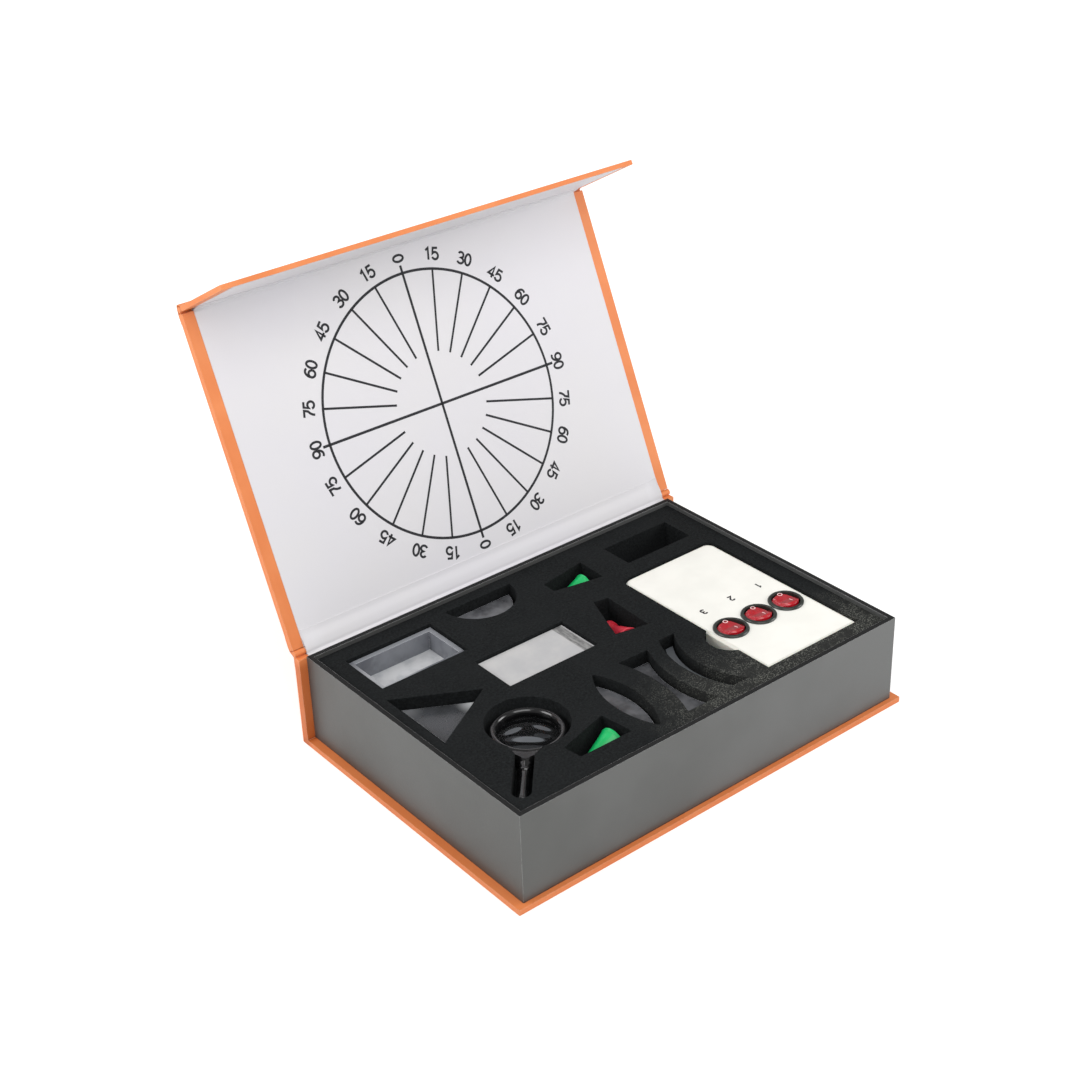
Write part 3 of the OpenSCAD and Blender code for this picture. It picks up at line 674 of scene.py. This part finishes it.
# ray box
rayBox = {
    "shell": (236, 235, 226),
    "shellCloud": (229, 227, 216),
    "shellWorn": (248, 247, 240),
    "label": (243, 242, 235),
    "labelCloud": (238, 237, 230),
    "bezel": (34, 38, 34),
    "cap": (192, 16, 34),
    "capCloud": (206, 32, 48),
    # painted shade on the cap's sides turned away from the camera
    "capGrazingShade": (120, 4, 16),
    "mark": (245, 205, 205),
    "centre": (0.084, -0.0185),
    "bottom": 0.024,
    "height": 0.0294,
    "switchX": (-0.022, -0.0006, 0.0208),
    "switchY": -0.0181,
    "pivotDown": 0.0018,
    "capRise": 0.0023,
    "capRadius": 0.0073,
    "dome": 0.014,
    "domeRise": 0.2 * mm,
    "tilt": 5,
    "number": 0.0046,
    "numberY": 0.0227,
    "numberShift": 0.0007,
    "numberProud": 0.00004,
    "numberWeight": 0.24,
    "ringAt": 4.4 * mm,           # O mark from the pivot
    "ringRadius": 1.25 * mm,
    "markLine": 0.5 * mm,
    "barFrom": -5.6 * mm,         # I mark in short pieces, to follow the dome
    "barPiece": 0.45 * mm,
    "barPieces": 6,
    "markProud": 0.05 * mm,
}
insides = {
    "tinned": (196, 198, 200),
    "zinc": (176, 178, 182),
    "brass": (198, 158, 92),
    "magnet": (170, 170, 174),
    "boardGreen": (16, 84, 44),
    "trackGreen": (28, 112, 60),
    "solder": (190, 180, 120),
    "cellDark": (34, 38, 44),
    "cellBand": (186, 116, 60),
    "cellBandFrom": (0.0166, 0.0169),
    "window": (120, 6, 14),
    "windowHaze": (160, 20, 26),
    "ink": (60, 60, 62),
    "ior": 1.49,
}


def shellLook():
    look = Look("ivoryShell")
    grain = look.noise(0.0005, 3, 0.6)
    cloud = look.noise(0.02, 3)
    worn = look.ramp(look.edges(0.0007) * (look.noise(0.003, 3) + 0.4), 0.12, 0.35)
    base = look.mix(look.ramp(cloud, 0.3, 0.7), srgb(*rayBox["shell"]), srgb(*rayBox["shellCloud"]))
    base = look.mix(worn * 0.35, base, srgb(*rayBox["shellWorn"]))
    look.set(Colour=base, Roughness=0.38 + 0.14 * grain, Specular=0.45, Subsurface=0.06,
             SubsurfaceScale=0.002, Normal=look.bump(grain, 0.25, 0.00006, 0.0006))
    return look


def labelLook():
    look = Look("labelFilm")
    grain = look.noise(0.0004, 3, 0.6)
    cloud = look.noise(0.018, 2)
    base = look.mix(look.ramp(cloud, 0.3, 0.7), srgb(*rayBox["label"]), srgb(*rayBox["labelCloud"]))
    look.set(Colour=base, Roughness=0.32 + 0.12 * grain, Specular=0.45, Coat=0.12,
             Normal=look.bump(grain, 0.15, 0.00004, 0.0003))
    return look


def plasticLook(name, colour, rough, coat, grainSize=0.0005, glow=0.0):
    look = Look(name)
    grain = look.noise(grainSize, 3, 0.6)
    cloud = look.noise(0.008, 3)
    worn = look.ramp(look.edges(0.0004) * (look.noise(0.002, 3) + 0.4), 0.12, 0.36)
    lighter = tuple(min(255, v + 30) for v in colour)
    base = look.mix(look.ramp(cloud, 0.3, 0.75) * 0.5, srgb(*colour), srgb(*lighter))
    base = look.mix(worn * 0.4, base, srgb(*tuple(min(255, v + 70) for v in colour)))
    look.set(Colour=base, Roughness=rough + 0.12 * grain, Coat=coat, CoatRoughness=0.08,
             Subsurface=glow, SubsurfaceScale=0.003,
             Normal=look.bump(grain, 0.2, 0.00006, 0.0004))
    return look


def metalLook(name, colour, rough=0.3):
    look = Look(name)
    turned = look.noise(0.0006, 4, 0.6, (1, 1, 8))
    stain = look.noise(0.005, 3)
    stained = tuple(int(v * 0.72) for v in colour)
    base = look.mix(look.ramp(stain, 0.35, 0.7) * 0.4, srgb(*colour), srgb(*stained))
    look.set(Colour=base, Metallic=1.0, Roughness=rough + 0.15 * turned,
             Normal=look.bump(turned, 0.2, 0.00005, 0.0002))
    return look


def capLook():
    look = Look("rockerRed")
    cloud = look.noise(0.004, 3)
    grain = look.noise(0.0006, 3)
    rim = look.node("LayerWeight", None, {"Blend": 0.35}, "Facing")
    base = look.mix(look.ramp(cloud, 0.35, 0.7), srgb(*rayBox["cap"]), srgb(*rayBox["capCloud"]))
    # painted shade: darker red where the cap turns away from the camera
    base = look.mix(rim * 0.5, base, srgb(*rayBox["capGrazingShade"]))
    look.set(Colour=base, Roughness=0.18 + 0.08 * grain, Coat=0.6, CoatRoughness=0.05,
             Subsurface=0.25, SubsurfaceScale=0.003, Transmission=0.15,
             Normal=look.bump(cloud, 0.12, 0.0002, 0.0009))
    return look


def boardGreenLook():
    look = Look("wiringBoard")
    tracks = look.node("TexBrick", {"offset": 0.5},
                       {"Vector": look.place(), "Scale": 220.0, "Mortar Size": 0.03,
                        "Color1": (1, 1, 1, 1), "Color2": (1, 1, 1, 1),
                        "Mortar": (0, 0, 0, 1)}, "Fac")
    grain = look.noise(0.0008, 3)
    base = look.mix(tracks, srgb(*insides["boardGreen"]), srgb(*insides["trackGreen"]))
    base = look.mix(look.ramp(grain, 0.62, 0.7) * 0.5, base, srgb(*insides["solder"]))
    look.set(Colour=base, Roughness=0.3 + 0.2 * grain, Coat=0.3,
             Normal=look.bump(tracks, 0.4, 0.00006))
    return look


def cellLook():
    look = Look("cellSleeve")
    across = look.axis(0)
    band = look.ramp(abs(across - rayBox["centre"][0]), *insides["cellBandFrom"])
    grain = look.noise(0.0009, 3)
    base = look.mix(band, srgb(*insides["cellDark"]), srgb(*insides["cellBand"]))
    look.set(Colour=base, Metallic=0.4 + 0.3 * band, Roughness=0.28 + 0.15 * grain,
             Normal=look.bump(grain, 0.1, 0.00005, 0.0003))
    return look


def windowLook():
    look = Look("beamWindow")
    haze = look.noise(0.0015, 3)
    look.set(Colour=look.mix(haze, srgb(*insides["window"]), srgb(*insides["windowHaze"])),
             Roughness=0.05 + 0.1 * haze, Transmission=0.5, IOR=insides["ior"],
             Normal=look.bump(haze, 0.05, 0.00005))
    return look


shell = shellLook()
film = labelLook()
bezel = plasticLook("switchBlack", rayBox["bezel"], 0.3, 0.15)
cap = capLook()
tinned = metalLook("tinned", insides["tinned"])
zinc = metalLook("zincScrew", insides["zinc"], 0.35)
brassTurned = metalLook("moduleBrass", insides["brass"], 0.28)
magnetPlate = metalLook("magnetPlate", insides["magnet"], 0.2)
dress(shell, "raybox_top_shell", "raybox_bottom_shell", "battery_door")
dress(film, "raybox_label")
dress(bezel, "switch_body_1", "switch_body_2", "switch_body_3")
dress(cap, "rocker_1", "rocker_2", "rocker_3")
dress(tinned, "battery_contacts", "switch_terminals")
dress(zinc, "shell_screws")
dress(brassTurned, "laser_modules")
dress(magnetPlate, "tray_magnets", "flap_magnets")
dress(windowLook(), "beam_windows")
dress(boardGreenLook(), "wiring_board")
dress(cellLook(), "battery_cells")
labelInk = inkLook("labelInk", insides["ink"])
markInk = inkLook("markInk", rayBox["mark"])


def boxPoint(x, y, z):
    return Vector((rayBox["centre"][0] + x, rayBox["centre"][1] + y, rayBox["bottom"] + z))


def makeSwitchNumbers():
    work = bmesh.new()

    def onLabel(x, y):
        return boxPoint(x, y, rayBox["height"] + rayBox["numberProud"])
    for i, x in enumerate(rayBox["switchX"]):
        spot = (x + rayBox["numberShift"], rayBox["switchY"] + rayBox["numberY"])
        numeral(work, onLabel, str(3 - i), rayBox["number"], spot, math.pi, rayBox["numberWeight"])
    finishFlat(work, "switchNumbers", labelInk, "ray_box")


def capHeight(x, y):
    rise = rayBox["pivotDown"] + rayBox["capRise"]
    facet = rise + abs(y) * math.tan(math.radians(rayBox["tilt"]))
    big, small = rayBox["dome"], rayBox["capRadius"]
    dome = rise + rayBox["domeRise"] - math.sqrt(big ** 2 - small ** 2)
    dome += math.sqrt(max(1e-9, big ** 2 - x * x - y * y))
    return min(facet, dome)


def makeRockerMarks():
    tilt = math.radians(-rayBox["tilt"])
    for i, name in enumerate(("rocker_a", "rocker_b", "rocker_c")):
        work = bmesh.new()

        def onCap(x, y):
            z = capHeight(x, y) + rayBox["markProud"]
            up = rayBox["height"] - rayBox["pivotDown"] + y * math.sin(tilt) + z * math.cos(tilt)
            return boxPoint(rayBox["switchX"][i] + x,
                            rayBox["switchY"] + y * math.cos(tilt) - z * math.sin(tilt), up)

        def onMark(x, y):
            return onCap(x, y + rayBox["ringAt"])
        flatRing(work, onMark, rayBox["ringRadius"], rayBox["markLine"], 36)
        for k in range(rayBox["barPieces"]):
            start = rayBox["barFrom"] + rayBox["barPiece"] * k
            flatStrip(work, onCap, (0, start), (0, start + rayBox["barPiece"]), rayBox["markLine"])
        finishFlat(work, "rockerMark" + str(i + 1), markInk, name)


makeSwitchNumbers()
makeRockerMarks()
print("ray box dressed")

# clear pieces, magnifier and figures
acrylic = {
    "ior": 1.49,
    # painted highlight along the edges
    "edge": (238, 240, 244),
}
lenses = {
    "colours": ((66, 67, 70), (120, 121, 125)),
    "edge": 0.0005,
}


def acrylicLook(name, colours, frost, transmission, edgeSize):
    look = Look(name)
    haze = look.noise(0.02, 3, 0.6)
    fine = look.noise(0.003, 4, 0.6)
    scratches = look.noise(0.012, 3, 0.6)
    edge = look.ramp(look.edges(edgeSize), 0.06, 0.3)
    dark, light = colours
    base = look.mix(look.ramp(haze + 0.2 * fine, 0.4, 0.8), srgb(*dark), srgb(*light))
    # painted highlight: pale lines along the edges
    base = look.mix(edge, base, srgb(*acrylic["edge"]))
    look.set(Colour=base, Roughness=frost + 0.1 * fine + 0.15 * edge,
             Transmission=transmission, IOR=acrylic["ior"], Specular=0.5,
             Normal=look.bump(scratches, 0.1, 0.0004, 0.0003))
    return look


block = {
    "colours": ((196, 196, 197), (209, 208, 207)),
    "edge": 0.0005,
    "refractedEndColours": ((84, 84, 84), (160, 160, 158)),
    "refractionFrom": -0.0115,        # X of the two sides of the painted refraction strip
    "refractionTo": -0.0048,
}


def blockLook():
    look = acrylicLook("blockGlass", block["colours"], 0.4, 0.2, block["edge"])
    spot = look.axis(0)
    # painted refraction: the end face seen through the top, as a dark streaky strip
    refractedEnd = look.ramp(spot, block["refractionFrom"] - 0.0006, block["refractionFrom"])
    refractedEnd = refractedEnd * look.ramp(spot, block["refractionTo"] - 0.0006, block["refractionTo"] - 0.0012)
    lines = look.noise(0.0011, 4, 0.7, (1, 0.2, 1))
    dark, light = block["refractedEndColours"]
    shaded = look.mix(look.ramp(lines, 0.35, 0.65), srgb(*dark), srgb(*light))
    plain = look.baseColour()
    look.set(Colour=look.mix(refractedEnd * 0.85, plain, shaded))
    return look


tank = {
    "colours": ((118, 121, 128), (150, 153, 160)),
    "edge": 0.00035,
    "top": 0.0525,
    "floor": 0.0405,
    "corner": (-0.1171, 0.0438, 0.0525),     # the corner nearest to the camera
    "wall": 0.003,
    "floorColours": ((212, 215, 219), (242, 243, 245)),
    "floorStreak": (235, 237, 240),
    # painted highlight along the edges
    "line": (226, 229, 234),
    "rim": (158, 161, 166),
    "nearCornerLight": ((122, 125, 132), (206, 208, 212)),   # painted light on the rim: darker away from the near corner, pale at it
    "nearLightReach": (0.036, 0.012),
}


def tankLook():
    look = acrylicLook("tankAcrylic", tank["colours"], 0.15, 0.35, tank["edge"])
    height = look.axis(2)
    ripple = look.noise(0.012, 3, 0.6)
    rim = look.ramp(height, tank["top"] - 0.0004, tank["top"] - 0.0001)
    up = look.facing(2)
    low = look.ramp(height, tank["floor"] + 0.0012, tank["floor"] + 0.0002)
    low = low * look.ramp(up, 0.4, 0.7)
    streaks = look.ramp(look.noise(0.005, 4, 0.75, (1, 3, 1)), 0.56, 0.66)
    plain = look.baseColour()
    dark, light = tank["floorColours"]
    floorShade = look.mix(look.ramp(ripple, 0.35, 0.62), srgb(*dark), srgb(*light))
    base = look.mix(low, plain, floorShade)
    base = look.mix(streaks * low * 0.5, base, srgb(*tank["floorStreak"]))
    lines = look.ramp(look.edges(tank["edge"]), 0.04, 0.2)
    corner = look.place() - tank["corner"]
    wall = tank["wall"]

    def besideCorner(index):
        return look.ramp(look.axis(index, corner), wall + 0.0004, wall)
    near = 1 - (1 - besideCorner(0)) * (1 - besideCorner(1))
    away, beside = tank["nearCornerLight"]
    reach = look.ramp(look.length(corner), *tank["nearLightReach"])
    nearCornerLight = look.mix(reach, srgb(*away), srgb(*beside))
    # painted light on the rim by the corner nearest the camera, and painted highlights along the
    # edges, mostly left out beside that corner
    base = look.mix(rim * 0.8, base, look.mix(near, srgb(*tank["rim"]), nearCornerLight))
    base = look.mix(lines * (1 - 0.85 * near), base, srgb(*tank["line"]))
    look.set(Colour=base)
    return look


prism = {
    "colours": ((62, 64, 66), (82, 84, 88)),
    "edge": 0.0004,
    "centre": (-0.1049, 0.0082, 0.0425),
    "right": (0.0231, 0.0, 0.0),             # two corners with painted highlights, from the centre
    "rightHighlight": (226, 228, 230),
    "rightReach": 0.013,
    "back": (-0.0115, 0.02, 0.0),
    "backHighlight": (176, 178, 182),
    "backReach": 0.014,
}


def prismLook():
    look = acrylicLook("prismAcrylic", prism["colours"], 0.2, 0.35, prism["edge"])
    centre = look.place() - prism["centre"]

    def paleCorner(corner, reach):
        way = look.length((centre - corner) * (1.0, 1.0, 0.0))
        return look.ramp(way, reach, 0.15 * reach)
    plain = look.baseColour()
    # painted highlights: two pale corners
    back = paleCorner(prism["back"], prism["backReach"]) * 0.5
    right = paleCorner(prism["right"], prism["rightReach"])
    base = look.mix(back, plain, srgb(*prism["backHighlight"]))
    look.set(Colour=look.mix(right, base, srgb(*prism["rightHighlight"])))
    return look


dress(tankLook(), "water_tank")
dress(blockLook(), "glass_block")
dress(prismLook(), "prism")
dress(acrylicLook("lensAcrylic", lenses["colours"], 0.15, 0.3, lenses["edge"]), "biconvex_lens",
      "biconcave_lens", "planoconvex_lens")

magnifier = {
    "black": (6, 6, 7),
    "centre": (-0.0791, -0.0319, 0.0),
    "glass": ((14, 15, 16), (20, 21, 22)),
    "reflectionShine": (98, 101, 105),
    "streaks": (                  # painted reflections: place from the centre, length, width, turn, strength
        ((-0.0056, 0.0054, 0.0), 0.0062, 0.0026, -14, 0.8),
        ((0.0074, -0.0026, 0.0), 0.0062, 0.0022, -60, 0.8),
        ((-0.0044, -0.0056, 0.0), 0.0102, 0.0027, -41.8, 1.0),
    ),
}


def magnifierLook():
    look = Look("magnifierGlass")
    haze = look.noise(0.01, 3)
    centre = look.place() - magnifier["centre"]

    def streak(spot, length, width, turn, strength):
        way = centre - spot
        angle = math.radians(turn)
        alongStreak = (math.cos(angle), math.sin(angle), 0.0)
        upStreak = (-math.sin(angle), math.cos(angle), 0.0)
        across = look.dot(way, alongStreak)
        rise = look.dot(way, upStreak)
        flat = look.node("CombineXYZ", None, {0: across / length, 1: rise / width})
        return look.ramp(look.length(flat), 1.0, 0.7) * strength
    # painted reflections, with the alpha raised where they lie
    first, second, third = (streak(*values) for values in magnifier["streaks"])
    reflectionShine = (first + second + third).clamped()
    dark, light = magnifier["glass"]
    base = look.mix(haze, srgb(*dark), srgb(*light))
    look.set(Colour=look.mix(reflectionShine, base, srgb(*magnifier["reflectionShine"])), Alpha=0.42 + 0.5 * reflectionShine,
             Roughness=0.04 + 0.03 * haze, Specular=0.12,
             Normal=look.bump(haze, 0.05, 0.0002))
    return look


dress(magnifierLook(), "magnifier_lens")
gloss = plasticLook("magnifierBlack", magnifier["black"], 0.12, 0.5)
dress(gloss, "magnifier_frame", "magnifier_handle")

mirror = {
    "face": (206, 208, 212),
    "top": (96, 100, 104),
}


def mirrorLook():
    look = Look("mirrorStrip")
    haze = look.noise(0.004, 3)
    edge = look.ramp(look.facing(2), 0.5, 0.8)
    base = look.mix(edge, srgb(*mirror["face"]), srgb(*mirror["top"]))
    look.set(Colour=base, Metallic=1 - 0.8 * edge, Roughness=0.06 + 0.3 * edge + 0.06 * haze,
             Normal=look.bump(haze, 0.03, 0.00005, 0.0003))
    return look


dress(mirrorLook(), "curved_mirror")

figures = {
    "green": (2, 174, 90),
    "red": (206, 36, 56),
    "rough": 0.34,
    "coat": 0.1,
    "glow": 0.05,
}


def figureLook(name, colour):
    return plasticLook(name, colour, figures["rough"], figures["coat"], glow=figures["glow"])


dress(figureLook("figureGreen", figures["green"]), "pawn_green_front", "pawn_green_back")
dress(figureLook("figureRed", figures["red"]), "pawn_red")
print("kit pieces dressed")


# light
studio = {
    "backdrop": 1.0,
    "fill": 0.55,
    "gloss": 0.3,
    "key": (-0.25, -0.7, 1.2, 8.5, 1.0),        # x, y, z, watts, size
    "left": (-1.0, 0.35, 0.7, 5.5, 0.6),
    "right": (0.9, -0.6, 0.5, 4.0, 0.5),
    "back": (0.2, 1.2, 1.1, 4.0, 0.7),
    "floorHalf": 6.0,
    "floorDown": 0.0002,
    "floorGrey": (0.66, 0.69),
    "floorLift": (0.46, 0.9),                   # light of its own to the camera, near and far
    "floorLiftFrom": (0.3, 1.6),                # distances of the two
    "floorGlow": 0.4,                           # the same to all other rays
    "aim": (0, 0, 0.05),
}


def areaLight(name, x, y, z, watts, size):
    data = bpy.data.lights.new(name, "AREA")
    data.energy = watts
    data.size = size
    lamp = bpy.data.objects.new(name, data)
    lamp.location = (x, y, z)
    way = Vector(studio["aim"]) - lamp.location
    lamp.rotation_euler = way.to_track_quat("-Z", "Y").to_euler()
    bpy.context.scene.collection.objects.link(lamp)


def makeStudio():
    world = bpy.data.worlds.new("studio")
    bpy.context.scene.world = world
    world.use_nodes = True
    sky = Graph(world.node_tree)
    back = sky.tree.nodes["Background"]
    camera, through, shiny = (sky.node("LightPath", output="Is " + kind + " Ray")
                              for kind in ("Camera", "Transmission", "Glossy"))
    seen = (camera + through).clamped()
    strength = studio["fill"] + shiny * (studio["gloss"] - studio["fill"])
    strength = strength * (1 - seen) + studio["backdrop"] * seen
    back.inputs["Color"].default_value = (1, 1, 1, 1)
    plug(sky.tree, strength, back.inputs["Strength"])
    for name in ("key", "left", "right", "back"):
        areaLight(name, *studio[name])


def grey(value):
    return (value, value, value)


def makeFloor():
    look = Look("floor")
    grain = look.noise(0.004, 3)
    seen = look.node("LightPath", output="Is Camera Ray")
    way = look.length(look.place())
    near, far = (grey(v) for v in studio["floorLift"])
    farther = look.mix(look.ramp(way, *studio["floorLiftFrom"]), near, far)
    lift = look.mix(seen, grey(studio["floorGlow"]), farther)     # open floor white, shadow kept
    dark, light = (grey(v) for v in studio["floorGrey"])
    look.set(Colour=look.mix(grain, dark, light), Roughness=0.9, Specular=0.0,
             EmissionColour=lift, EmissionStrength=1.0,
             Normal=look.bump(grain, 0.02, 0.0001))
    half = studio["floorHalf"]
    corners = [(-half, -half, 0), (half, -half, 0), (half, half, 0), (-half, half, 0)]
    mesh = bpy.data.meshes.new("floor")
    mesh.from_pydata(corners, [], [(0, 1, 2, 3)])
    mesh.materials.append(look.material)
    floor = bpy.data.objects.new("floor", mesh)
    floor.location.z = -studio["floorDown"]
    bpy.context.scene.collection.objects.link(floor)


makeStudio()
makeFloor()
print("studio lit")
